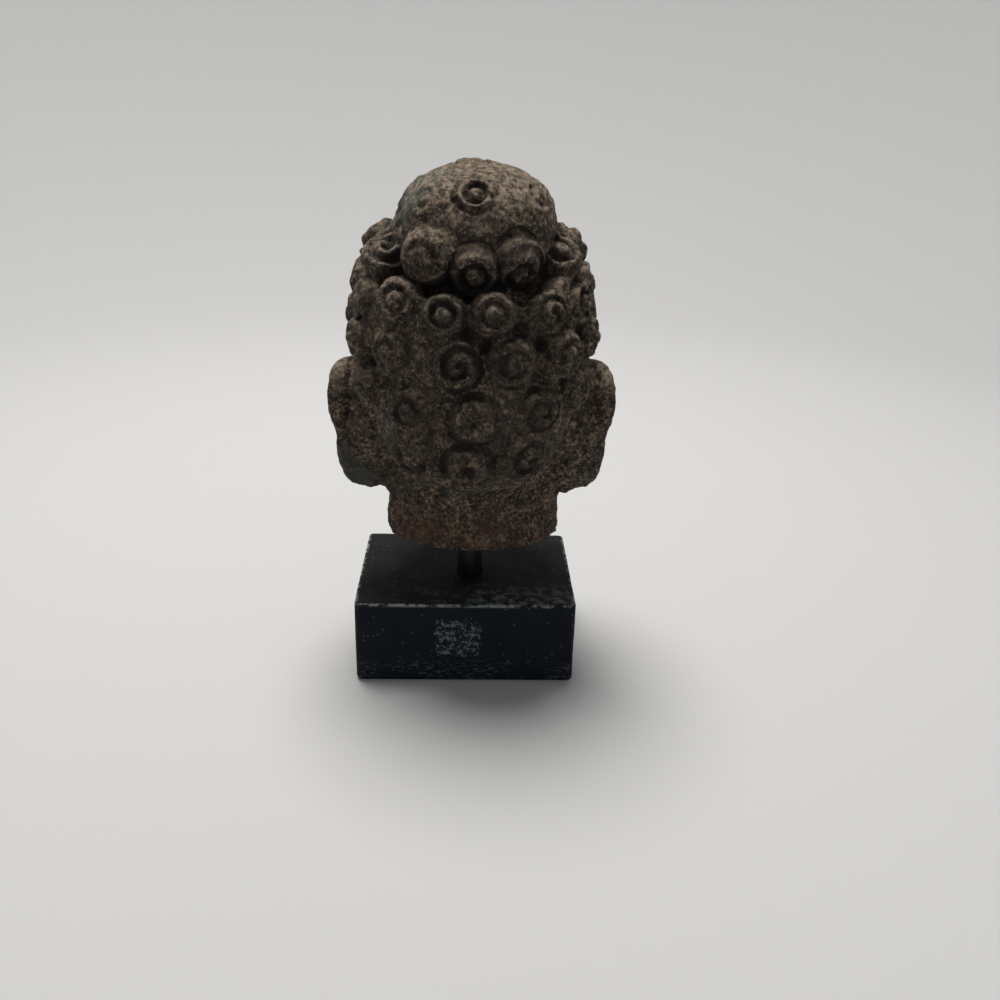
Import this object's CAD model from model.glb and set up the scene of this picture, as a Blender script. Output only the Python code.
"""A carved stone Buddha head on a short rod and a black painted wooden block.

The head is modelled as a block of clay: a grid of signed distances in millimetres, to which forms are added
and from which they are cut, each with a soft seam. Its origin is the middle of the neck's flat cut, the face
looks towards -Y and +Z is up. The curls' spirals and the stone's weathering are made by Geometry Nodes.
"""

import math
from functools import partial
from itertools import combinations, product

import bmesh
import bpy
import numpy as np
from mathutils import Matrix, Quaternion, Vector


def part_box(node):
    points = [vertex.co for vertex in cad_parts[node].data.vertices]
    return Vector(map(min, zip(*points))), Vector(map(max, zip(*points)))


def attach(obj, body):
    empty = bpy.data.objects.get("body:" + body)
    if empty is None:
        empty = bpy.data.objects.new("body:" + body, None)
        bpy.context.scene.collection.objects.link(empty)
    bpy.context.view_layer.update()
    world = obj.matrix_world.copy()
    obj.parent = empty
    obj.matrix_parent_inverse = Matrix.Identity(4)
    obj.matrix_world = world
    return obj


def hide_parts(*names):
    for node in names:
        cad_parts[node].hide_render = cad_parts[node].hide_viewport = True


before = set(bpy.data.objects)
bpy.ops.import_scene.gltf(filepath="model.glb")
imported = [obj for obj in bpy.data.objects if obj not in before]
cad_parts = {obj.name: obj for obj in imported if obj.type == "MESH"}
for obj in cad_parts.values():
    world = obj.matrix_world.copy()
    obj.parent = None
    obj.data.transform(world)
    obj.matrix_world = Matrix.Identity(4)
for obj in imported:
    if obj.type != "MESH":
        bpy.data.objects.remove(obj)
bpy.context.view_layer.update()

MM = 0.001


# ---------------------------------------------------------------- small helpers

def add(tree, kind, *values, at=None, out=0, stops=None, **settings):
    """Adds a node with its settings and links, and returns its output: the first, or the one that out names.

    values go to the inputs in order and at maps input names to values; each is a number, a colour or another
    node's output, and None leaves an input as it is. stops are a colour ramp's (place, hex colour) pairs.
    """
    node = tree.nodes.new(kind)
    for name, value in settings.items():
        setattr(node, name, value)
    for key, value in [*enumerate(values), *(at or {}).items()]:
        if isinstance(value, bpy.types.NodeSocket):
            tree.links.new(value, node.inputs[key])
        elif value is not None:
            node.inputs[key].default_value = value
    if stops:
        elements = node.color_ramp.elements
        while len(elements) < len(stops):
            elements.new(1)
        for element, (place, colour) in zip(elements, stops):
            element.position, element.color = place, linear(colour)
    return node.outputs[out] if len(node.outputs) else node


def linear(code, alpha=1.0):
    """A colour written as sRGB hex, in the linear values that Blender's sockets hold."""
    channels = [int(code[i:i + 2], 16) / 255 for i in (1, 3, 5)]
    return [c / 12.92 if c < 0.04045 else ((c + 0.055) / 1.055) ** 2.4 for c in channels] + [alpha]


def per_metre(size_mm):
    """A texture's Scale for features of this size."""
    return 1000 / size_mm


def ease(low, high, value):
    t = np.clip((value - low) / (high - low), 0, 1)
    return t * t * (3 - 2 * t)


def mesh_object(name, verts_mm, faces, smooth=True):
    mesh = bpy.data.meshes.new(name)
    mesh.from_pydata((np.asarray(verts_mm) * MM).tolist(), [], [list(f) for f in faces])
    mesh.update()
    if smooth:
        mesh.shade_smooth()
    obj = bpy.data.objects.new(name, mesh)
    bpy.context.scene.collection.objects.link(obj)
    return obj


def point_attribute(obj, name, values, kind="FLOAT"):
    attribute = obj.data.attributes.new(name, kind, "POINT")
    field = "vector" if kind == "FLOAT_VECTOR" else "value"
    attribute.data.foreach_set(field, np.asarray(values, np.float32).ravel())


def baked(obj, name):
    """The object with its modifiers worked in, as a plain mesh object."""
    graph = bpy.context.evaluated_depsgraph_get()
    mesh = bpy.data.meshes.new_from_object(obj.evaluated_get(graph))
    mesh.name = name
    bpy.data.objects.remove(obj)
    plain = bpy.data.objects.new(name, mesh)
    bpy.context.scene.collection.objects.link(plain)
    return plain


# ---------------------------------------------------------------- camera, light and floor

CAMERA = {"place": (0.2, 434.8, 256.6), "yaw": 2.09, "pitch": 22.61, "roll": 1.51, "lens": 36}


def camera():
    data = bpy.data.cameras.new("camera")
    data.lens = CAMERA["lens"]
    data.sensor_width = 36
    obj = bpy.data.objects.new("camera", data)
    yaw, pitch, roll = (math.radians(CAMERA[k]) for k in ("yaw", "pitch", "roll"))
    look = Vector((-math.sin(yaw) * math.cos(pitch), -math.cos(yaw) * math.cos(pitch), -math.sin(pitch)))
    obj.rotation_mode = "QUATERNION"
    obj.rotation_quaternion = look.to_track_quat("-Z", "Y") @ Quaternion((0, 0, 1), roll)
    obj.location = Vector(CAMERA["place"]) * MM
    bpy.context.scene.collection.objects.link(obj)
    bpy.context.scene.camera = obj


def area_light(name, place, aim, size, watts, colour):
    data = bpy.data.lights.new(name, "AREA")
    data.shape = "DISK"
    data.size = size
    data.energy = watts
    data.color = linear(colour)[:3]
    obj = bpy.data.objects.new(name, data)
    obj.location = place
    obj.rotation_mode = "QUATERNION"
    obj.rotation_quaternion = (Vector(aim) - Vector(place)).to_track_quat("-Z", "Y")
    bpy.context.scene.collection.objects.link(obj)


def studio():
    """A round pale sweep, open above, with one broad light overhead and a weak fill."""
    flat, bend, rim, sides = 0.75, 0.45, 1.5, 96
    profile = [(0.0, 0.0), (flat, 0.0)]
    profile += [(flat + bend * math.sin(a),
                 bend * (1 - math.cos(a))) for a in np.linspace(0.1, math.pi / 2, 14)]
    profile += [(flat + bend, rim)]
    sweep = bmesh.new()
    rings = []
    for radius, height in profile:
        turns = np.linspace(0, 2 * math.pi, sides if radius else 1, endpoint=False)
        rings.append([sweep.verts.new((radius * math.cos(t), radius * math.sin(t), height)) for t in turns])
    centre, first = rings[0][0], rings[1]
    for a, b in zip(first, first[1:] + first[:1]):
        sweep.faces.new((centre, a, b))
    for low, high in zip(rings[1:], rings[2:]):
        for i in range(sides):
            sweep.faces.new((low[i], high[i], high[(i + 1) % sides], low[(i + 1) % sides]))
    mesh = bpy.data.meshes.new("floor")
    sweep.to_mesh(mesh)
    sweep.free()
    mesh.shade_smooth()
    floor = bpy.data.objects.new("floor", mesh)
    bpy.context.scene.collection.objects.link(floor)
    mesh.materials.append(pale_paper())

    area_light("overhead", (0.10, -0.30, 1.35), (0, 0, 0.1), 0.7, 26, "#fffaf4")
    area_light("fill", (-0.5, 0.9, 0.8), (0, 0, 0.12), 0.5, 0.35, "#eef3ff")

    world = bpy.data.worlds.new("studio")
    bpy.context.scene.world = world
    world.use_nodes = True
    background = world.node_tree.nodes["Background"]
    background.inputs["Color"].default_value = linear("#e9eef4")
    background.inputs["Strength"].default_value = 0.05
    bpy.context.scene.view_settings.view_transform = "Standard"


# ---------------------------------------------------------------- clay: forms, and a grid they are joined on

def turned(turn_z):
    a = math.radians(turn_z)
    return np.array([[math.cos(a), math.sin(a), 0], [-math.sin(a), math.cos(a), 0], [0, 0, 1]])


def ellipsoid(centre, radii, axes=None):
    """axes are the ellipsoid's own three directions, one to a row."""
    c, r = np.array(centre, float), np.array(radii, float)
    m = np.eye(3) if axes is None else np.asarray(axes, float)

    def at(x, y, z):
        x, y, z = x - c[0], y - c[1], z - c[2]
        own = [m[k, 0] * x + m[k, 1] * y + m[k, 2] * z for k in range(3)]
        scaled = np.sqrt(sum((v / r[k]) ** 2 for k, v in enumerate(own)))
        slope = np.sqrt(sum((v / r[k] ** 2) ** 2 for k, v in enumerate(own)))
        return scaled * (scaled - 1) / (slope + 1e-9)

    return at, c, r.max()


def boxy_ellipsoid(centre, radii, power):
    c, r = np.array(centre, float), np.array(radii, float)

    def at(x, y, z):
        own = [np.abs(v - c[k]) / r[k] for k, v in enumerate((x, y, z))]
        scaled = sum(v ** power for v in own) ** (1 / power)
        slope = np.sqrt(sum((v ** (power - 1) / r[k]) ** 2 for k, v in enumerate(own)))
        return (scaled - 1) / (slope / np.maximum(scaled, 1e-3) ** (power - 1) + 1e-9)

    return at, c, 1.3 * r.max()


def bead(points, radii):
    """A round bead along a line of points, with a radius at each."""
    points = np.asarray(points, float)
    centre = (points.min(0) + points.max(0)) / 2

    def at(x, y, z):
        nearest = np.float32(1e3)
        for a, b, ra, rb in zip(points, points[1:], radii, radii[1:]):
            along = b - a
            dx, dy, dz = x - a[0], y - a[1], z - a[2]
            t = np.clip((dx * along[0] + dy * along[1] + dz * along[2]) / (along @ along), 0, 1)
            away = np.sqrt((dx - t * along[0]) ** 2 + (dy - t * along[1]) ** 2 + (dz - t * along[2]) ** 2)
            nearest = np.minimum(nearest, away - (ra + (rb - ra) * t))
        return nearest

    return at, centre, max(np.linalg.norm(points - centre, axis=1)) + max(radii)


def mirrored(form):
    at, centre, reach = form
    return (lambda x, y, z: at(-x, y, z)), centre * [-1, 1, 1], reach


def line(points, count):
    """A smooth line through the points."""
    p = np.array(points, float)
    p = np.vstack([2 * p[0] - p[1], p, 2 * p[-1] - p[-2]])
    spans = len(p) - 3
    out = []
    for u in np.linspace(0, spans - 1e-9, count):
        i = int(u)
        t = u - i
        a, b, c, d = p[i:i + 4]
        out.append(0.5 * (2 * b + (c - a) * t + (2 * a - 5 * b + 4 * c - d) * t ** 2
                          + (3 * b - a - 3 * c + d) * t ** 3))
    return np.array(out)


class Clay:
    """Signed distances on a grid, in millimetres: negative inside the stone."""

    def __init__(self, low, high, step):
        self.low, self.step = np.array(low, float), step
        size = np.ceil((np.array(high) - self.low) / step).astype(int) + 1
        self.d = np.full(size, 60, np.float32)

    def window(self, centre, reach):
        first = np.maximum(np.floor((centre - reach - self.low) / self.step).astype(int), 0)
        last = np.minimum(np.ceil((centre + reach - self.low) / self.step).astype(int) + 1, self.d.shape)
        axes = [(self.low[k] + self.step * np.arange(first[k], last[k])).astype(np.float32) for k in range(3)]
        return tuple(map(slice, first, last)), np.meshgrid(*axes, indexing="ij", sparse=True)

    def join(self, form, soft, cut=False):
        at, centre, reach = form
        place, (x, y, z) = self.window(centre, reach + soft + 4)
        sign = -1 if cut else 1
        old, new = self.d[place], sign * at(x, y, z).astype(np.float32)
        h = np.clip(0.5 + 0.5 * sign * (old - new) / soft, 0, 1)
        self.d[place] = old + (new - old) * h - sign * soft * h * (1 - h)

    def cut(self, form, soft):
        self.join(form, soft, cut=True)

    def join_both(self, form, soft):
        self.join(form, soft)
        self.join(mirrored(form), soft)

    def cut_both(self, form, soft):
        self.cut(form, soft)
        self.cut(mirrored(form), soft)

    def raise_by(self, height, centre, reach):
        place, (x, y, z) = self.window(np.array(centre, float), reach)
        self.d[place] -= height(x, y, z).astype(np.float32)

    def sample(self, points):
        q = (np.atleast_2d(points) - self.low) / self.step
        q = np.clip(q, 0, np.array(self.d.shape) - 1.001)
        i = np.clip(np.floor(q).astype(int), 0, np.array(self.d.shape) - 2)
        t = q - i
        total = np.zeros(len(q))
        for corner in product((0, 1), repeat=3):
            weight = np.prod(np.where(corner, t, 1 - t), axis=1)
            total += weight * self.d[i[:, 0] + corner[0], i[:, 1] + corner[1], i[:, 2] + corner[2]]
        return total

    def normals(self, points, reach=1.5):
        slope = [self.sample(points + reach * k) - self.sample(points - reach * k) for k in np.eye(3)]
        slope = np.stack(slope, 1)
        return slope / np.maximum(np.linalg.norm(slope, axis=1, keepdims=True), 1e-9)

    def surface(self, start, direction, far=90):
        """Where a ray first meets the stone, coming back from far along it, and the outward normal there."""
        start, direction = np.array(start, float), np.array(direction, float)
        direction /= np.linalg.norm(direction)
        t = np.arange(far, 0, -0.2)
        inside = self.sample(start + t[:, None] * direction) < 0
        point = start + t[np.argmax(inside)] * direction
        return point, self.normals(point[None], 2)[0]

    def laid(self, starts, direction, radii, sink):
        """A bead laid on the stone along rays from starts, then sunk by a depth."""
        spread = np.interp(np.linspace(0, 1, len(starts)), np.linspace(0, 1, len(radii)), radii)
        points = []
        for start in starts:
            point, normal = self.surface(start, direction)
            points.append(point - normal * sink)
        return bead(points, spread)

    def skin(self):
        """Corners and quads of the surface: a corner in each cell that it crosses, a quad across each grid
        edge."""
        d, inside = self.d, self.d < 0
        cells = [s - 1 for s in d.shape]
        filled = np.zeros(cells, np.int8)
        corners = list(product((0, 1), repeat=3))
        for o in corners:
            filled += inside[o[0]:o[0] + cells[0], o[1]:o[1] + cells[1], o[2]:o[2] + cells[2]]
        place = np.argwhere((filled > 0) & (filled < 8))
        number = np.full(cells, -1, np.int32)
        number[tuple(place.T)] = np.arange(len(place))
        value = {o: d[place[:, 0] + o[0], place[:, 1] + o[1], place[:, 2] + o[2]] for o in corners}
        total, crossings = np.zeros((len(place), 3)), np.zeros(len(place))
        for o in corners:
            for axis in range(3):
                if o[axis]:
                    continue
                a, b = value[o], value[tuple(1 if k == axis else o[k] for k in range(3))]
                crossed = (a < 0) != (b < 0)
                point = np.repeat(np.array(o, float)[None], len(place), 0)
                point[:, axis] += a / np.where(crossed, a - b, np.inf)
                total += point * crossed[:, None]
                crossings += crossed
        verts = self.low + (place + total / crossings[:, None]) * self.step
        quads = []
        for axis in range(3):
            u, v = (axis + 1) % 3, (axis + 2) % 3
            low = [slice(1, -1)] * 3
            low[axis] = slice(0, -1)
            high = list(low)
            high[axis] = slice(1, None)
            a, b = inside[tuple(low)], inside[tuple(high)]
            for outward, mask in ((1, a & ~b), (-1, ~a & b)):
                edge = np.argwhere(mask) + [0 if k == axis else 1 for k in range(3)]
                ring = []
                for du, dv in ((-1, -1), (0, -1), (0, 0), (-1, 0)):
                    cell = edge.copy()
                    cell[:, u] += du
                    cell[:, v] += dv
                    ring.append(number[tuple(cell.T)])
                quads.append(np.stack(ring, 1)[:, ::outward])
        return verts, np.concatenate(quads)


# ---------------------------------------------------------------- the head

FRONT = (0, -1, 0)
BODY_X, BODY_Z = -1.8, 60
STEP = 1.0
HAIR_THICKNESS = 2.8
EAR_AT, EAR_TURN = (55, 0.5), 25

# What a curl's coil is like: its pitch as a share of the radius, where the first groove lies in turns of
# the pitch,
# and which way it winds, 0 for plain rings. The stone is so worn that most coils are left as a nub in a ring.
COILS = {"ring": (0.58, 0.75, 0), "pit": (0.95, 0.0, 0), "left": (0.56, 0.4, 1), "right": (0.56, 0.4, -1)}

# Rings of curls round the head. The curls at the back are given one by one: the angle from the back's
# middle, the
# height, the coil and how crisp it is. The rest of a ring is spread evenly, rising towards the face.
RINGS = [
    {"back": [(-40, 154, "ring", 0.3), (0, 157, "ring", 0.8)],
     "level": 154, "rise": 0, "count": 7, "radius": 8.6,
     "height": 1.2, "start": 4, "worn": 0.35},
    {"back": [(-31, 133, "ring", 0.5), (0, 128, "ring", 1.4), (30, 130, "left", 1.2)],
     "level": 131, "rise": 5,
     "count": 10, "radius": 11.4, "height": 6.0, "start": 4},
    {"back": [(-38, 116.5, "ring", 0.9), (-14, 112.5, "ring", 1.0), (9.5, 113, "ring", 0.9),
     (37, 112, "right", 0.7)],
     "level": 114, "rise": 15, "count": 14, "radius": 9.8, "height": 4.2},
    {"back": [(-39, 96, "left", 0.6), (-7, 92.5, "right", 0.9), (19, 94, "ring", 0.8), (46, 95, "ring", 0.6)],
     "level": 95, "rise": 18, "count": 13, "radius": 10.6, "height": 5.4},
    {"back": [(-62, 77, "ring", 0.5), (-31, 72, "ring", 0.8), (1, 70, "pit", 1.0), (34, 72, "left", 0.9),
              (64, 77, "ring", 0.6)], "level": 72, "rise": 0, "count": 5, "radius": 11.2, "height": 5.6},
    {"back": [(-31, 51, "ring", 0.7), (-2, 49, "pit", 1.1), (30, 51, "right", 0.9)], "level": 50, "rise": 0,
     "count": 3, "radius": 11.8, "height": 5.4},
]
TOP_CURL = {"radius": 8.5, "height": 1.2}


def hairline(x, y):
    """How high the hair's lower edge is round the head: low at the nape, over the ears, then over the
    forehead."""
    angle = np.degrees(np.arctan2(np.abs(x), y + 4))
    nape, temple, brow = 32, 84, 100
    return nape + (temple - nape) * ease(34, 76, angle) + (brow - temple) * ease(110, 165, angle)


def masses(clay):
    clay.join(boxy_ellipsoid((0, -1, 98), (48.5, 46.5, 53), 2.25), 1)
    clay.join(ellipsoid((0, 8, 62), (42, 36, 36)), 10)
    clay.join(ellipsoid((0, -12, 62), (43.5, 38.5, 48)), 6)
    clay.join(ellipsoid((0, -17, 36), (38.5, 31, 26)), 10)
    clay.join_both(ellipsoid((25, -30, 46), (15, 14.5, 18)), 10)

    def column(x, y, z):
        flare = 1 + 0.02 * np.clip((16 - z) / 16, 0, 1)
        across, deep = 39.8 * flare, 28.5 * flare
        x, y = x + 1.2, y + 4
        scaled = np.sqrt((x / across) ** 2 + (y / deep) ** 2)
        slope = np.sqrt((x / across ** 2) ** 2 + (y / deep ** 2) ** 2)
        return np.maximum((scaled - 1) * np.maximum(scaled, 1e-3) / (slope + 1e-6), z - 46)

    clay.join((column, np.array([0, 0, 20.0]), 70), 6)
    clay.join(ellipsoid((0, -38, 22), (17, 13, 11)), 8)
    clay.raise_by(lambda x, y, z: HAIR_THICKNESS * ease(-1.5, 1.5, z - hairline(x, y)), (0, 0, 90), 95)
    clay.join(boxy_ellipsoid((-1.2, 4, 133), (34.2, 36, 34), 2.35), 3)

    def waist(x, y, z):
        """The hollow under the topknot's edge: deep and low at the back, shallow and higher at the sides."""
        angle = np.degrees(np.arctan2(np.abs(x), y - 4))
        away = (np.sqrt((x / 38) ** 2 + ((y - 4) / 41) ** 2) - 1) * 39.5
        level = 124 + 14 * ease(30, 85, angle)
        return np.hypot(away, z - level) - (6.8 - 4.3 * ease(30, 80, angle))

    clay.cut((waist, np.array([0, 4, 130.0]), 62), 5)


def stroke(clay, outline, radii, sink, soft, cut=False, whole=False):
    """A bead drawn on the face through (x, z) points of its left half. whole: one bead over both halves."""
    half = line(outline, 4 * len(outline)) if len(outline) > 2 else np.array(outline, float)
    if whole:
        half = np.concatenate([(half * [-1, 1])[::-1][:-1], half])
        radii = list(radii)[::-1] + list(radii)[1:]
    form = clay.laid([(x, 0, z) for x, z in half], FRONT, radii, sink)
    for part in [form] if whole else [form, mirrored(form)]:
        clay.join(part, soft, cut)


def face(clay):
    # sockets, eyeballs and the long arched brows
    clay.cut_both(ellipsoid((19, -55, 65.5), (16.5, 12, 8.5), turned(-5)), 6)
    clay.join_both(ellipsoid((18.5, -36.5, 60), (14, 11, 9.2)), 2)
    stroke(clay, [(3.5, 66), (9, 74), (20, 78.5), (31, 76.5), (40, 69)], [2.2, 2.2, 1.2], 1.2, 2.5)
    # nose: bridge, tip, wings and nostrils
    clay.join(bead([(0, -46, 73), (0, -56.5, 51)], [3.6, 4.6]), 5)
    clay.join(ellipsoid((0, -57.5, 48.5), (5.8, 6.8, 5.4)), 3)
    clay.join_both(ellipsoid((7, -53, 46.8), (4.4, 5.6, 4.1)), 2.5)
    clay.cut_both(ellipsoid((3.9, -57, 42), (2.1, 3.2, 1.8)), 1)
    # lids: the upper one's edge, the slit, the lower one's edge and the fold above
    stroke(clay, [(6.2, 57.2), (12, 55.8), (19, 55.2), (26, 56.8), (32.5, 60.5)], [0.8, 1.4, 0.9], 0.3, 1)
    stroke(clay, [(7, 56.4), (13, 54.4), (19, 53.5), (26, 55.2), (31.5, 59.2)], [0.7, 1.2, 0.7], -0.1, 0.8,
           cut=True)
    stroke(clay, [(7, 56.2), (13, 52.7), (19, 51.6), (26, 53.4), (32, 58.5)], [0.6, 1.1, 0.6], 0.2, 1)
    stroke(clay, [(7.5, 62), (13, 66.5), (20, 68.2), (28, 66.4), (34.5, 61.5)], [0.6, 0.9, 0.6], -0.2, 1.2,
           cut=True)
    # mouth: the mound behind it, two lips, the line between them and its corners
    clay.join(ellipsoid((0, -41.5, 33), (16, 12, 12)), 7)
    stroke(clay, [(0, 35.0), (3.6, 36.0), (8, 35.0), (12, 33.8)], [2.2, 2.4, 2.0, 0.9], 0.5, 1.2, whole=True)
    stroke(clay, [(0, 29.9), (4.5, 30.2), (8.5, 31.4), (11.4, 32.8)], [3.1, 2.8, 2.0, 0.9], 0.8, 1.2,
           whole=True)
    stroke(clay, [(0, 32.9), (3.6, 32.5), (8, 32.9), (13, 33.9)], [0.9, 0.9, 0.8, 0.6], 0.1, 0.8, cut=True,
           whole=True)
    clay.cut_both(ellipsoid((14.2, -50, 33.8), (1.8, 3, 2)), 2)
    stroke(clay, [(0, 41.5), (0, 38.6)], [1.6, 1.8], -1.0, 1.5, cut=True)
    stroke(clay, [(0, 24.6), (4, 24.8), (8, 25.4)], [3, 2.6, 2], -1.9, 3, cut=True, whole=True)
    clay.join(ellipsoid((0, -43.5, 18), (9.5, 8.5, 7)), 5)
    mark, _ = clay.surface((0, 0, 84), FRONT)
    clay.join(ellipsoid(mark, (2.6, 1.7, 2.6)), 0.6)


def ears(clay):
    angle = math.radians(EAR_TURN)
    across, out = (math.sin(angle), math.cos(angle)), (math.cos(angle), -math.sin(angle), 0)
    axes = turned(-EAR_TURN)

    def at(back, up, proud=0):
        """A point of the left ear: towards its back edge, up the head, and outwards from its plane."""
        return (EAR_AT[0] + back * across[0] + proud * out[0], EAR_AT[1] + back * across[1] + proud * out[1],
                up)

    def draw(outline, radii, sink, cut=False):
        points = line(outline, 24) if len(outline) > 2 else np.array(outline, float)
        form = clay.laid([at(back, up, -20) for back, up in points], out, radii, sink)
        for part in (form, mirrored(form)):
            clay.join(part, 1.5, cut)

    clay.join_both(ellipsoid((44, 4, 52), (13, 12, 28.5)), 8)
    clay.join_both(ellipsoid((47, 4, 74), (8, 10, 11)), 5)
    clay.join_both(ellipsoid(at(1, 66, -1), (6.5, 13.5, 18), axes), 3)
    clay.join_both(ellipsoid(at(-1, 40.5, -2), (6.8, 10, 16), axes), 8)
    clay.cut_both(ellipsoid(at(-1, 64, 8.5), (5.5, 6.5, 10.5), axes), 2)
    rim = [(-5, 60), (-11, 68), (-9, 76.5), (0, 81), (9.5, 77.5), (12.5, 69), (11.5, 58), (8.5, 48),
           (7.5, 40)]
    draw(rim, [2.0, 2.4, 2.4, 2.4, 2.2, 1.8, 1.4, 1.0], 0.6)
    draw([(2, 78), (5.5, 70), (5, 60), (0, 52.5), (-6, 51.5)], [1.4, 2.0, 2.0, 1.8], 0.7)
    clay.join_both(ellipsoid(at(-9.5, 58, 4.5), (2.6, 2.8, 4.2), axes), 1.5)
    draw([(-1.0, 46), (-1.0, 36)], [1.6, 2.0], 0.6, cut=True)


def outward(angle):
    """The direction at an angle round the head: 0 at the back's middle, rising towards -X."""
    a = math.radians(angle)
    return np.array([-math.sin(a), math.cos(a), 0])


def curls(clay, random):
    """Joins the curls' mounds to the hair and sinks a hollow wherever three of them meet."""
    placed = []
    for ring in RINGS:
        spots = list(ring["back"])
        first, last = spots[0][0], spots[-1][0]
        more = ring["count"] - len(spots)
        for k in range(more):
            angle = last + (360 - last + first) * (k + 1) / (more + 1)
            front = (1 - math.cos(math.radians(angle))) / 2
            level = ring["level"] + ring["rise"] * ease(0.15, 1, front)
            spots.append((angle, level, random.choice(list(COILS)),
                          ring.get("worn", 1) * random.uniform(0.6, 1.0)))
        for angle, level, coil, crisp in spots:
            point, normal = clay.surface((0, ring.get("start", 0), level), outward(angle))
            placed.append((point, normal, ring, coil, crisp))
    point, normal = clay.surface((0, 4, 140), (0.02, 0, 1))
    placed.append((point, normal, TOP_CURL, "ring", 0.5))

    def touching(a, b):
        return np.linalg.norm(a[0] - b[0]) < 1.3 * (a[2]["radius"] + b[2]["radius"])

    for i, a in enumerate(placed):
        near = [b for b in placed[i + 1:] if touching(a, b)]
        for b, c in combinations(near, 2):
            if touching(b, c):
                middle, normal = (a[0] + b[0] + c[0]) / 3, (a[1] + b[1] + c[1]) / 3
                pit, _ = clay.surface(middle - 12 * normal, normal, 40)
                clay.cut(ellipsoid(pit + 1.4 * normal, (4.6, 4.6, 4.4)), 4)

    made = []
    for point, normal, ring, coil, crisp in placed:
        right = np.cross((0, 0, 1), normal)
        right /= np.linalg.norm(right)
        axes = np.stack([right, np.cross(normal, right), normal])
        radius = ring["radius"] * random.uniform(0.94, 1.05)
        height = ring["height"] * random.uniform(0.85, 1.1)
        clay.join(ellipsoid(point - normal, (radius, 0.96 * radius, height + 1), axes), 3)
        pitch, turn, winding = COILS[coil]
        made.append({"place": point, "normal": normal, "right": right, "radius": radius,
                     "pitch": pitch * radius, "turn": turn, "winding": winding, "depth": crisp})
    return made


def head_clay():
    random = np.random.default_rng(7)
    clay = Clay((-70, -72, -4), (70, 62, 174), STEP)
    masses(clay)
    face(clay)
    ears(clay)
    made = curls(clay, random)
    # the neck's flat cut with its worn rim, and the socket for the rod
    clay.raise_by(lambda x, y, z: -0.9 * (1 - ease(0, 4, z)), (0, 0, 0), 70)
    z = clay.low[2] + STEP * np.arange(clay.d.shape[2])
    clay.d = np.maximum(clay.d, (0.05 - z).astype(np.float32)[None, None, :])
    rod_radius, rod_deep = 6.2, 18.3
    clay.cut(bead([(0, 3, -4), (0, 3, rod_deep - rod_radius)], [rod_radius, rod_radius]), 0.3)
    return clay, made


# ---------------------------------------------------------------- Geometry Nodes

MATH, VECTOR, RANGE, NOISE = ("ShaderNodeMath", "ShaderNodeVectorMath", "ShaderNodeMapRange",
                              "ShaderNodeTexNoise")


def node_tree(name, inputs):
    """A Geometry Nodes tree with these named inputs, (name, socket type, value)."""
    tree = bpy.data.node_groups.new(name, "GeometryNodeTree")
    tree.interface.new_socket("Geometry", in_out="OUTPUT", socket_type="NodeSocketGeometry")
    tree.interface.new_socket("Geometry", in_out="INPUT", socket_type="NodeSocketGeometry")
    for label, kind, value in inputs:
        socket = tree.interface.new_socket(label, in_out="INPUT", socket_type="NodeSocket" + kind)
        if value is not None:
            socket.default_value = value
    given = tree.nodes.new("NodeGroupInput").outputs
    return tree, given, partial(add, tree)


def finish_tree(tree, geometry, material):
    real = add(tree, "GeometryNodeRealizeInstances", geometry)
    painted = add(tree, "GeometryNodeSetMaterial", at={"Geometry": real, "Material": material})
    add(tree, "NodeGroupOutput", painted)


def run_tree(obj, tree, values):
    """Works the tree into the object, which becomes a plain mesh object of the same name."""
    modifier = obj.modifiers.new(tree.name, "NODES")
    modifier.node_group = tree
    for item in tree.interface.items_tree:
        if item.in_out == "INPUT" and item.name in values:
            modifier[item.identifier] = values[item.name]
    return baked(obj, obj.name)


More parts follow.
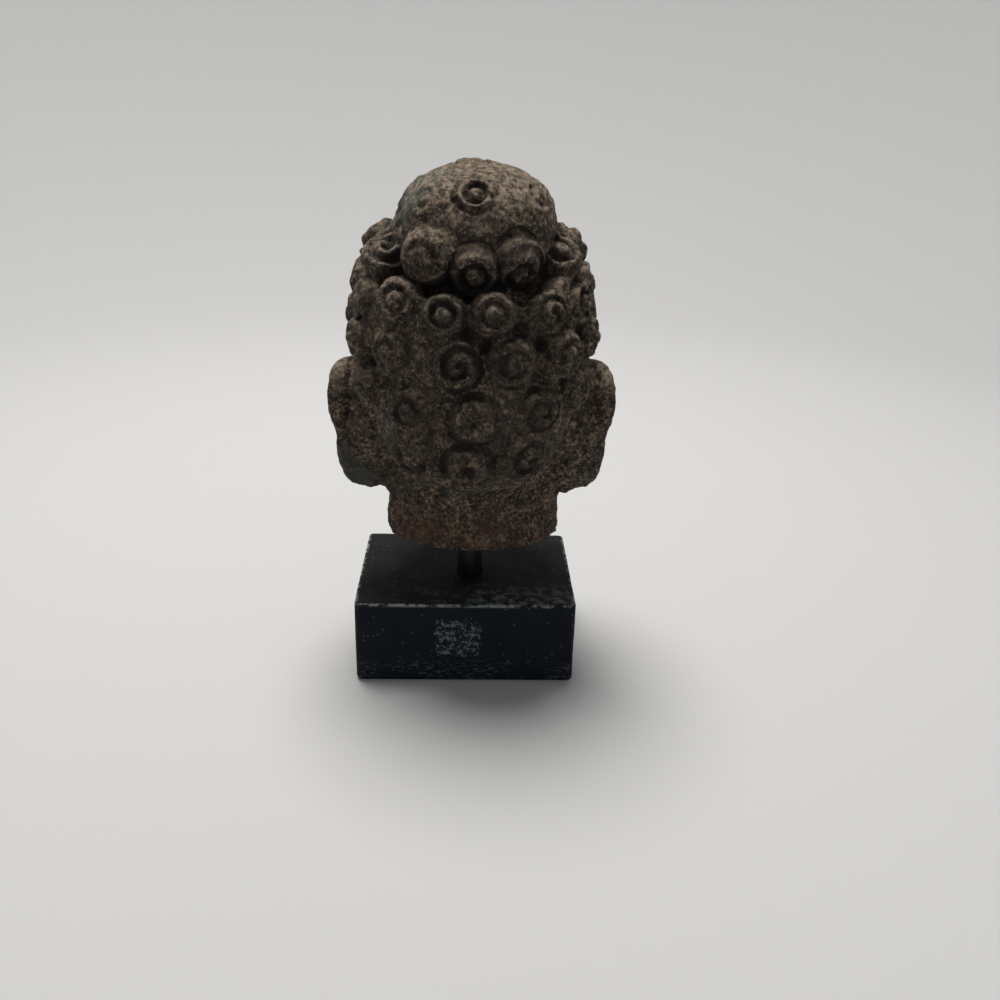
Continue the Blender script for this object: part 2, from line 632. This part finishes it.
def spiral_tree():
    """Cuts each curl's spiral: on every point of the skin, from the nearest curl's place, axes and size."""
    tree, given, node = node_tree("spirals",
                                  [("Curls", "Object", None), ("Depth", "Float", 0.0018),
                                   ("Wander", "Float", 0.003), ("Material", "Material", None)])
    centres = node("GeometryNodeObjectInfo", given["Curls"], out="Geometry")
    here = node("GeometryNodeInputPosition")
    nearest = node("GeometryNodeSampleNearest", at={"Geometry": centres, "Sample Position": here},
                   domain="POINT")

    def of_curl(name, kind="FLOAT"):
        value = node("GeometryNodeInputNamedAttribute", name, data_type=kind)
        return node("GeometryNodeSampleIndex", at={"Geometry": centres, "Value": value, "Index": nearest},
                    data_type=kind, domain="POINT")

    place, normal, right = (of_curl(name, "FLOAT_VECTOR") for name in ("position", "normal", "right"))
    radius, pitch, turn, winding, depth = (of_curl(n) for n in ("radius", "pitch", "turn", "winding",
        "depth"))

    offset = node(VECTOR, here, place, operation="SUBTRACT")
    along = node(VECTOR, offset, right, operation="DOT_PRODUCT", out="Value")
    upward = node(VECTOR, normal, right, operation="CROSS_PRODUCT")
    up = node(VECTOR, offset, upward, operation="DOT_PRODUCT", out="Value")
    high = node(VECTOR, offset, normal, operation="DOT_PRODUCT", out="Value")
    flat = node("ShaderNodeCombineXYZ", along, up)
    away = node(VECTOR, flat, operation="LENGTH", out="Value")
    # the groove wanders, as a hand-held point and long wear leave it, and fades here and there
    drift = node(MATH, node(NOISE, at={"Vector": here, "Scale": per_metre(11), "Detail": 2.0}), 0.5,
                 operation="SUBTRACT")
    bent = node(MATH, drift, given["Wander"], away, operation="MULTIPLY_ADD")
    turns = node(MATH, bent, pitch, operation="DIVIDE")
    angle = node(MATH, up, along, operation="ARCTAN2")
    wound = node(MATH, node(MATH, angle, winding, operation="MULTIPLY"), 1 / (2 * math.pi),
                 operation="MULTIPLY")
    coil = node(MATH, turns, wound, operation="SUBTRACT")
    coil = node(MATH, coil, turn, operation="SUBTRACT")
    wave = node(MATH, node(MATH, coil, 2 * math.pi, operation="MULTIPLY"), operation="COSINE")
    groove = node(MATH, node(MATH, wave, 0.5, 0.5, operation="MULTIPLY_ADD"), 1.4, operation="POWER")

    share = node(MATH, away, radius, operation="DIVIDE")
    cut = node(MATH, groove, depth, operation="MULTIPLY")
    inside = node(RANGE, share, at={"From Min": 1.15, "From Max": 0.85}, interpolation_type="SMOOTHSTEP")
    fading = node(NOISE, at={"Vector": here, "Scale": per_metre(14), "Detail": 1.0})
    worn = node(RANGE, fading, at={"From Min": 0.30, "From Max": 0.55, "To Min": 0.7})
    level = node(MATH, high, operation="ABSOLUTE")
    close = node(RANGE, level, at={"From Min": 0.016, "From Max": 0.010})
    hair = node("GeometryNodeInputNamedAttribute", "hair", data_type="FLOAT")
    for share_of_cut in (inside, worn, close, hair):
        cut = node(MATH, cut, share_of_cut, operation="MULTIPLY")
    sunk = node(MATH, node(MATH, cut, given["Depth"], operation="MULTIPLY"), -1, operation="MULTIPLY")
    move = node(VECTOR, normal, at={"Scale": sunk}, operation="SCALE")
    carved = node("GeometryNodeSetPosition", at={"Geometry": given["Geometry"], "Offset": move})
    stored = node("GeometryNodeStoreNamedAttribute", at={"Geometry": carved, "Name": "groove", "Value": cut},
                  data_type="FLOAT", domain="POINT")
    finish_tree(tree, stored, given["Material"])
    return tree


def weather_tree():
    """Wears a surface: broad unevenness, small chips, scattered pits and, where asked for, slanting chisel
    strokes."""
    tree, given, node = node_tree("weather",
                                  [("Broad", "Float", 0.0005), ("Fine", "Float", 0.0003),
                                   ("Pits", "Float", 0.0006), ("Chisel", "Float", 0.0),
                                   ("Seed", "Float", 0.0), ("Material", "Material", None)])
    here = node("GeometryNodeInputPosition")

    def uneven(place, size, detail, height):
        """Noise of this size about nought, in metres."""
        value = node(NOISE,
                     at={"Vector": place, "W": given["Seed"], "Scale": per_metre(size), "Detail": detail},
                     noise_dimensions="4D")
        centred = node(MATH, value, 0.5, operation="SUBTRACT")
        return node(MATH, centred, node(MATH, height, 3, operation="MULTIPLY"), operation="MULTIPLY")

    cells = {"Vector": here, "W": given["Seed"], "Scale": per_metre(3.8)}
    distance = node("ShaderNodeTexVoronoi", at=cells, voronoi_dimensions="4D", out="Distance")
    colour = node("ShaderNodeTexVoronoi", at=cells, voronoi_dimensions="4D", out="Color")
    chosen = node(MATH, node("FunctionNodeSeparateColor", colour), 0.55, operation="GREATER_THAN")
    hole = node(RANGE, distance, at={"From Min": 0.5, "From Max": 0.1})
    pits = node(MATH, node(MATH, hole, chosen, operation="MULTIPLY"), given["Pits"], operation="MULTIPLY")

    slant = node("ShaderNodeVectorRotate", here, at={"Axis": (0.0, 1.0, 0.0), "Angle": math.radians(-24)},
                 rotation_type="AXIS_ANGLE")
    drawn_out = node(VECTOR, slant, (1.0, 1.0, 0.16), operation="MULTIPLY")
    chisel = node("GeometryNodeInputNamedAttribute", "chisel", data_type="FLOAT")
    strokes = node(MATH, uneven(drawn_out, 3.2, 1.0, given["Chisel"]), chisel, operation="MULTIPLY")

    total = node(MATH, strokes, pits, operation="SUBTRACT")
    for part in (uneven(here, 22, 2.0, given["Broad"]), uneven(here, 3.4, 3.0, given["Fine"])):
        total = node(MATH, total, part, operation="ADD")
    kept = node("GeometryNodeInputNamedAttribute", "kept", data_type="FLOAT")
    free = node(MATH, 1.0, kept, operation="SUBTRACT")
    total = node(MATH, total, free, operation="MULTIPLY")
    move = node(VECTOR, node("GeometryNodeInputNormal"), at={"Scale": total}, operation="SCALE")
    moved = node("GeometryNodeSetPosition", at={"Geometry": given["Geometry"], "Offset": move})
    finish_tree(tree, moved, given["Material"])
    return tree


def head(material, weather):
    clay, made = head_clay()
    verts, quads = clay.skin()
    obj = mesh_object("stone_head", verts + [BODY_X, 0, BODY_Z], quads)
    x, y, z = verts.T
    point_attribute(obj, "hair", ease(-1, 2, z - hairline(x, y)))
    point_attribute(obj, "chisel", (1 - ease(24, 30, z)) * ease(-30, -15, y))
    flat_cut = 1 - ease(0.2, 1.2, z)
    skin = (1 - ease(-1, 2, z - hairline(x, y))) * ease(-5, -25, y)
    point_attribute(obj, "kept", np.maximum(flat_cut, 0.55 * skin))

    places = np.array([c["place"] for c in made]) + [BODY_X, 0, BODY_Z]
    centres = mesh_object("curl_centres", places, [], smooth=False)
    for name in ("normal", "right"):
        point_attribute(centres, name, [c[name] for c in made], "FLOAT_VECTOR")
    for name in ("radius", "pitch"):
        point_attribute(centres, name, [c[name] * MM for c in made])
    for name in ("turn", "winding", "depth"):
        point_attribute(centres, name, [c[name] for c in made])

    obj = run_tree(obj, spiral_tree(),
                   {"Curls": centres, "Depth": 0.0028, "Wander": 0.003, "Material": material})
    bpy.data.objects.remove(centres)
    obj = run_tree(obj, weather,
                   {"Broad": 0.0007, "Fine": 0.00055, "Pits": 0.0011, "Chisel": 0.0017, "Seed": 3.0,
                    "Material": material})
    count = len(obj.data.vertices)
    place, normal = np.empty(count * 3, np.float32), np.empty(count * 3, np.float32)
    obj.data.vertices.foreach_get("co", place)
    obj.data.vertices.foreach_get("normal", normal)
    place = place.reshape(-1, 3) / MM - [BODY_X, 0, BODY_Z]
    normal = normal.reshape(-1, 3)
    hollow = np.zeros(count)
    for reach in (3.0, 8.0):
        hollow += 0.5 * np.clip(1 - clay.sample(place + reach * normal) / reach, 0, 1)
    point_attribute(obj, "hollow", hollow)
    return obj


# ---------------------------------------------------------------- the rod and the block

def rings_to_mesh(rings):
    """Corners and faces of a closed shell through rings of the same count, with a flat cap at each end."""
    count = len(rings[0])
    faces = [list(range(count))[::-1]]
    for k in range(len(rings) - 1):
        a, b = k * count, (k + 1) * count
        faces += [(a + i, a + (i + 1) % count, b + (i + 1) % count, b + i) for i in range(count)]
    faces.append([(len(rings) - 1) * count + i for i in range(count)])
    return np.concatenate(rings), faces


def rounded_corner(centre_inset, centre_z, radius, start, end, steps):
    """(inset, z) points of an edge's round; the angle is 0 outwards and 90 up."""
    turns = np.radians(np.linspace(start, end, steps))
    return [(centre_inset - radius * math.cos(t), centre_z + radius * math.sin(t)) for t in turns]


def outline(half_x, half_y, corner, per_side=24, per_corner=8):
    """A rounded rectangle, anticlockwise, with the same count of points whatever its size."""
    corner = max(corner, 0.2)
    points = []
    for k, (sx, sy) in enumerate(((1, 1), (-1, 1), (-1, -1), (1, -1))):
        centre = np.array([sx * (half_x - corner), sy * (half_y - corner)])
        turns = np.radians(90 * k + np.linspace(0, 90, per_corner))
        arc = centre + corner * np.stack([np.cos(turns), np.sin(turns)], 1)
        points += list(arc)
        nx, ny = ((-1, 1), (-1, -1), (1, -1), (1, 1))[k]
        following = np.array([nx * (half_x - corner), ny * (half_y - corner)])
        step = following - centre
        points += [arc[-1] + step * t for t in np.linspace(0, 1, per_side + 2)[1:-1]]
    return np.array(points)


def rod(material):
    low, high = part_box("rod")
    centre, radius = (low + high) / 2 / MM, (high.x - low.x) / 2 / MM
    bottom, top, chamfer, sides = low.z / MM, high.z / MM, 0.5, 64
    levels = [(radius - chamfer, bottom), (radius, bottom + chamfer)]
    levels += [(radius, z) for z in np.linspace(bottom + chamfer, top - chamfer, 24)[1:]]
    levels += [(radius - chamfer, top)]
    turns = np.linspace(0, 2 * math.pi, sides, endpoint=False)
    rings = [np.stack([centre.x + r * np.cos(turns), centre.y + r * np.sin(turns), np.full(sides, z)], 1)
             for r, z in levels]
    obj = mesh_object("rod_lacquered", *rings_to_mesh(rings))
    obj.data.materials.append(material)
    return obj


def block(material, weather):
    high = Vector(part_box("block")[1]) / MM
    half_x, half_y, height = high.x, high.y, high.z
    corner, foot, crisp, hole, hole_floor = 2.6, 2.4, 0.7, 6.25, 24.8
    rod_low, rod_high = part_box("rod")
    rod_at = (rod_low + rod_high) / 2 / MM

    levels = [(inset, 0.0) for inset in np.linspace(30, foot + 1, 8)]
    levels += rounded_corner(foot, foot, foot, -90, 0, 6)
    levels += [(0.0, z) for z in np.linspace(foot, height - crisp, 16)[1:-1]]
    levels += rounded_corner(crisp, height - crisp, crisp, 0, 90, 5)
    rings = [np.column_stack([outline(half_x - i, half_y - i, corner - i), np.full(128, z)]) for i,
             z in levels]
    rim = outline(half_x - crisp, half_y - crisp, corner - crisp)
    toward = rim - [rod_at.x, rod_at.y]
    circle = [rod_at.x, rod_at.y] + hole * toward / np.linalg.norm(toward, axis=1, keepdims=True)
    for share in np.linspace(0, 1, 18)[1:]:
        rings.append(np.column_stack([rim + share * (circle - rim), np.full(128, height)]))
    rings += [np.column_stack([circle, np.full(128, z)]) for z in np.linspace(height - 0.4, hole_floor, 5)]
    verts, faces = rings_to_mesh(rings)
    obj = mesh_object("block_painted", verts, faces)
    obj.data.set_sharp_from_angle(angle=math.radians(35))
    x, y, z = verts.T
    to_side = np.minimum(half_x - np.abs(x), half_y - np.abs(y))
    edge = np.exp(-((height - z) ** 2 + np.maximum(to_side, 0) ** 2) / 1.2 ** 2)
    point_attribute(obj, "edge", edge)
    inner = np.hypot(x - rod_at.x, y - rod_at.y) < hole + 2
    point_attribute(obj, "kept", np.maximum(1 - ease(0, 2, z), inner))
    point_attribute(obj, "chisel", np.zeros(len(verts)))
    return run_tree(obj, weather, {"Broad": 0.00012, "Fine": 0.00008, "Pits": 0.00008, "Seed": 11.0,
                                   "Material": material})


# ---------------------------------------------------------------- materials

MIX = "ShaderNodeMix"


def new_material(name, roughness, specular=0.5):
    made = bpy.data.materials.new(name)
    made.use_nodes = True
    tree = made.node_tree
    shader = tree.nodes["Principled BSDF"]
    shader.inputs["Roughness"].default_value = roughness
    shader.inputs["Specular IOR Level"].default_value = specular
    node = partial(add, tree)
    return made, tree, shader, node, node("ShaderNodeTexCoord", out="Object")


def pale_paper():
    """Matt paper sweep."""
    made, _, shader, _, _ = new_material("matt_paper", 0.9)
    shader.inputs["Base Color"].default_value = linear("#b6b8ba")
    return made


def weathered_stone():
    """Carved volcanic stone, long weathered: matt, coarse grained, tan and brown grains with black specks.
    Earth sits
    in the cuts, and high places are rubbed paler."""
    made, tree, shader, node, here = new_material("weathered_carved_stone", 0.85, 0.35)

    def spot(place, size, ragged):
        """1 near a place, given in mm, falling to 0 a size away, with a ragged edge."""
        away = node(VECTOR, here, tuple(v * MM for v in place), operation="DISTANCE", out="Value")
        bent = node(MATH, node(NOISE, here, None, per_metre(9), 3.0, 0.6), -ragged * MM * 2, away,
                    operation="MULTIPLY_ADD")
        return node(RANGE, bent, (size - ragged) * MM, (size - ragged) * MM * 0.45,
                    interpolation_type="SMOOTHSTEP")

    # grains about a millimetre across, drawn coarser than the stone's finest so that they show
    grain = node(NOISE, here, None, per_metre(1.6), 5.0, 0.75)
    clump = node(NOISE, here, None, per_metre(4.5), 3.0, 0.6)
    mixed = node(MATH, node(MATH, grain, 0.68, operation="MULTIPLY"),
                 node(MATH, clump, 0.32, operation="MULTIPLY"), operation="ADD")
    colour = node("ShaderNodeValToRGB", mixed, stops=[
        (0.40, "#0d0a07"), (0.46, "#2e261c"), (0.53, "#655646"), (0.63, "#b09a82")])
    colour = node(MIX,
                  node(RANGE, node(NOISE, here, None, per_metre(34), 2.0, 0.6), 0.42, 0.66, None, 0.55,
                       interpolation_type="SMOOTHSTEP"), at={6: colour, 7: linear("#3c332a")},
                  data_type="RGBA", out=2)
    colour = node(MIX,
                  node(RANGE, node(NOISE, here, None, per_metre(19), 3.0, 0.6), 0.58, 0.74, None, 0.35,
                       interpolation_type="SMOOTHSTEP"), at={6: colour, 7: linear("#5b5f58")},
                  data_type="RGBA", out=2)
    speck_size = {"Vector": here, "Scale": per_metre(1.7)}
    speck = node("ShaderNodeTexVoronoi", at=speck_size, out="Distance")
    kind = node("ShaderNodeSeparateColor", node("ShaderNodeTexVoronoi", at=speck_size, out="Color"))
    dark = node(MATH, node(RANGE, speck, 0.45, 0.25, interpolation_type="SMOOTHSTEP"),
                node(MATH, kind, 0.72, operation="GREATER_THAN"), operation="MULTIPLY")
    pale = node(MATH, node(RANGE, speck, 0.32, 0.18, interpolation_type="SMOOTHSTEP"),
                node(MATH, kind, 0.14, operation="LESS_THAN"), operation="MULTIPLY")
    colour = node(MIX, node(MATH, dark, 0.8, operation="MULTIPLY"), at={6: colour, 7: linear("#15110c")},
                  data_type="RGBA", out=2)
    colour = node(MIX, node(MATH, pale, 0.6, operation="MULTIPLY"), at={6: colour, 7: linear("#a89b84")},
                  data_type="RGBA", out=2)

    # colours of place: red earth on the lower neck, grey-green patina on the crown's side and the left lobe
    height = node("ShaderNodeSeparateXYZ", here, out="Z")
    colour = node(MIX,
                  node(MATH, node(RANGE, height, 0.086, 0.064, None, 0.55, interpolation_type="SMOOTHSTEP"),
                       node(RANGE, node(NOISE, here, None, per_metre(11), 3.0, 0.6), 0.35, 0.65,
                            interpolation_type="SMOOTHSTEP"), operation="MULTIPLY"),
                  at={6: colour, 7: linear("#5a3a26")}, data_type="RGBA", out=2)
    colour = node(MIX, node(MATH, spot((22, 14, 216), 20, 6), 0.75, operation="MULTIPLY"),
                  at={6: colour, 7: linear("#4b5048")}, data_type="RGBA", out=2)
    colour = node(MIX, node(MATH, spot((58, 3, 92), 22, 7), 0.7, operation="MULTIPLY"),
                  at={6: colour, 7: linear("#33372f")}, data_type="RGBA", out=2)

    # worn high places and earth in the hollows
    hollow = node("ShaderNodeAttribute", attribute_name="hollow", out="Fac")
    groove = node("ShaderNodeAttribute", attribute_name="groove", out="Fac")
    upward = node("ShaderNodeSeparateXYZ", node("ShaderNodeNewGeometry", out="Normal"), out="Z")
    rubbed = node(MATH, node(RANGE, upward, 0.1, 0.85, None, 0.85, interpolation_type="SMOOTHSTEP"),
                  node(RANGE, hollow, 0.62, 0.42, interpolation_type="SMOOTHSTEP"), operation="MULTIPLY")
    colour = node(MIX,
                  node(MATH, rubbed,
                       node(RANGE, node(NOISE, here, None, per_metre(2.6), 3.0, 0.6), 0.38, 0.66,
                            interpolation_type="SMOOTHSTEP"), operation="MULTIPLY"),
                  at={6: colour, 7: linear("#a2937f")}, data_type="RGBA", out=2)
    colour = node(MIX, node(RANGE, hollow, 0.44, 0.74, None, 0.85, interpolation_type="SMOOTHSTEP"),
                  at={6: colour, 7: linear("#120d08")}, data_type="RGBA", out=2)
    colour = node(MIX, node(MATH, groove, 0.6, operation="MULTIPLY"), at={6: colour, 7: linear("#17110b")},
                  data_type="RGBA", out=2)
    tree.links.new(colour, shader.inputs["Base Color"])

    bump = node("ShaderNodeBump", at={"Strength": 1.0, "Distance": 0.0045, "Height": mixed})
    tree.links.new(bump, shader.inputs["Normal"])
    gloss = node(RANGE, node(NOISE, here, None, per_metre(3.0), 3.0, 0.6),
                 at={"To Min": 0.72, "To Max": 0.95})
    tree.links.new(gloss, shader.inputs["Roughness"])
    return made


def black_painted_wood():
    """Softwood block brushed with thin matt black paint, rubbed through at the arrises and dusty on top."""
    made, tree, shader, node, here = new_material("black_painted_wood", 0.6, 0.15)

    x, y, z = (node("ShaderNodeSeparateXYZ", here, out=axis) for axis in "XYZ")
    colour = node("ShaderNodeValToRGB", node(NOISE, here, None, per_metre(7), 3.0, 0.6),
                  stops=[(0.3, "#040506"), (0.7, "#090c0d")])
    faces = node("ShaderNodeNewGeometry", out="Normal")
    upward = node("ShaderNodeSeparateXYZ", faces, out="Z")
    rearward = node("ShaderNodeSeparateXYZ", faces, out="Y")
    top, rear = (node(RANGE, upward, 0.7, 0.95, interpolation_type="SMOOTHSTEP"),
                 node(RANGE, rearward, 0.7, 0.95, interpolation_type="SMOOTHSTEP"))
    colour = node(MIX, node(MATH, rear, 0.6, operation="MULTIPLY"), at={6: colour, 7: linear("#0b1420")},
                  data_type="RGBA", out=2)

    # specks of lint and paint grit
    speck_size = {"Vector": here, "Scale": per_metre(2.2)}
    speck = node("ShaderNodeTexVoronoi", at=speck_size, out="Distance")
    kind = node("ShaderNodeSeparateColor", node("ShaderNodeTexVoronoi", at=speck_size, out="Color"))
    lint = node(MATH, node(RANGE, speck, 0.22, 0.12, interpolation_type="SMOOTHSTEP"),
                node(MATH, kind, 0.78, operation="GREATER_THAN"), operation="MULTIPLY")
    colour = node(MIX, node(MATH, lint, 0.55, operation="MULTIPLY"), at={6: colour, 7: linear("#5c6670")},
                  data_type="RGBA", out=2)

    # dust lying along the rear half of the top, thicker to one side
    band = node(MATH,
                node(MATH, top, node(RANGE, y, 0.012, 0.036, interpolation_type="SMOOTHSTEP"),
                     operation="MULTIPLY"),
                node(RANGE, node(NOISE, here, None, per_metre(4), 3.0, 0.6), 0.4, 0.66,
                     interpolation_type="SMOOTHSTEP"), operation="MULTIPLY")
    thicker = node(RANGE, x, 0.012, -0.012, interpolation_type="SMOOTHSTEP")
    heap = node(RANGE, node(NOISE, here, None, per_metre(20), 1.0, 0.6), 0.44, 0.58, None, 0.6,
                interpolation_type="SMOOTHSTEP")
    uneven_dust = node(MATH, thicker, heap, operation="MAXIMUM")
    colour = node(MIX,
                  node(MATH, node(MATH, band, uneven_dust, operation="MULTIPLY"), 0.55, operation="MULTIPLY"),
                  at={6: colour, 7: linear("#7d8385")}, data_type="RGBA", out=2)

    # scuffs low on the rear face
    drawn = node(VECTOR, here, (1.0, 1.0, 3.0), operation="MULTIPLY")
    low_down = node(RANGE, z, 0.016, 0.006, interpolation_type="SMOOTHSTEP")
    scuff = node(MATH,
                 node(MATH, node(MATH, rear, low_down, operation="MULTIPLY"),
                      node(RANGE, node(NOISE, drawn, None, per_metre(3.5), 4.0, 0.7), 0.5, 0.66,
                           interpolation_type="SMOOTHSTEP"), operation="MULTIPLY"),
                 node(RANGE, node(NOISE, here, None, per_metre(26), 1.0, 0.6), 0.42, 0.54,
                      interpolation_type="SMOOTHSTEP"), operation="MULTIPLY")
    colour = node(MIX, node(MATH, scuff, 0.6, operation="MULTIPLY"), at={6: colour, 7: linear("#5a6169")},
                  data_type="RGBA", out=2)

    # the torn backing of a label, soaked off long ago: a rough oblong of paper fibre with a ragged edge
    frayed = node(MATH, node(NOISE, here, None, per_metre(3.0), 3.0, 0.6), 0.5, operation="SUBTRACT")
    left_over = [rear]
    for value, middle, half in ((x, 0.0032, 0.0103), (z, 0.0230, 0.0090)):
        off = node(MATH, node(MATH, value, middle, operation="SUBTRACT"), operation="ABSOLUTE")
        bent = node(MATH, frayed, 0.006, off, operation="MULTIPLY_ADD")
        left_over.append(node(RANGE, bent, half + 0.0004, half - 0.0004, interpolation_type="SMOOTHSTEP"))
    left_over.append(node(RANGE, node(NOISE, here, None, per_metre(2.4), 4.0, 0.75), 0.47, 0.62,
                          interpolation_type="SMOOTHSTEP"))
    patch = 0.8
    for share in left_over:
        patch = node(MATH, patch, share, operation="MULTIPLY")
    colour = node(MIX, patch, at={6: colour, 7: linear("#6a7076")}, data_type="RGBA", out=2)

    # arrises rubbed through to pale undercoat
    edge = node("ShaderNodeAttribute", attribute_name="edge", out="Fac")
    rubbed = node(MATH, node(RANGE, edge, 0.45, 0.8, interpolation_type="SMOOTHSTEP"),
                  node(RANGE, node(NOISE, here, None, per_metre(5), 4.0, 0.7), 0.44, 0.6,
                       interpolation_type="SMOOTHSTEP"), operation="MULTIPLY")
    colour = node(MIX, node(MATH, rubbed, 0.75, operation="MULTIPLY"), at={6: colour, 7: linear("#8d9296")},
                  data_type="RGBA", out=2)
    tree.links.new(colour, shader.inputs["Base Color"])

    relief = node(MATH, node(NOISE, here, None, per_metre(1.6), 4.0, 0.65),
                  node(NOISE, here, None, per_metre(12), 2.0, 0.6), operation="ADD")
    bump = node("ShaderNodeBump", at={"Strength": 0.35, "Distance": 0.0004, "Height": relief})
    tree.links.new(bump, shader.inputs["Normal"])
    gloss = node(RANGE, node(NOISE, here, None, per_metre(9), 3.0, 0.6), at={"To Min": 0.55, "To Max": 0.8})
    tree.links.new(gloss, shader.inputs["Roughness"])
    return made


def black_lacquered_steel():
    """Round steel bar dipped in black lacquer: smooth with a low gloss and a little dust."""
    made, tree, shader, node, here = new_material("black_lacquered_steel", 0.34)
    film = node(NOISE, at={"Vector": here, "Scale": per_metre(2.5), "Detail": 4.0})
    colour = node("ShaderNodeValToRGB", film, stops=[(0.55, "#06080a"), (0.8, "#23272a")])
    tree.links.new(colour, shader.inputs["Base Color"])
    bump = node("ShaderNodeBump", at={"Strength": 0.15, "Distance": 0.0002, "Height": film})
    tree.links.new(bump, shader.inputs["Normal"])
    return made


# ---------------------------------------------------------------- the object

weather = weather_tree()
camera()
studio()
pieces = [
    (head(weathered_stone(), weather), "head", "stone"),
    (rod(black_lacquered_steel()), "rod", "rod_lacquer"),
    (block(black_painted_wood(), weather), "block", "block_paint"),
]
for obj, node_name, slot in pieces:
    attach(obj, "root")
    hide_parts(node_name)
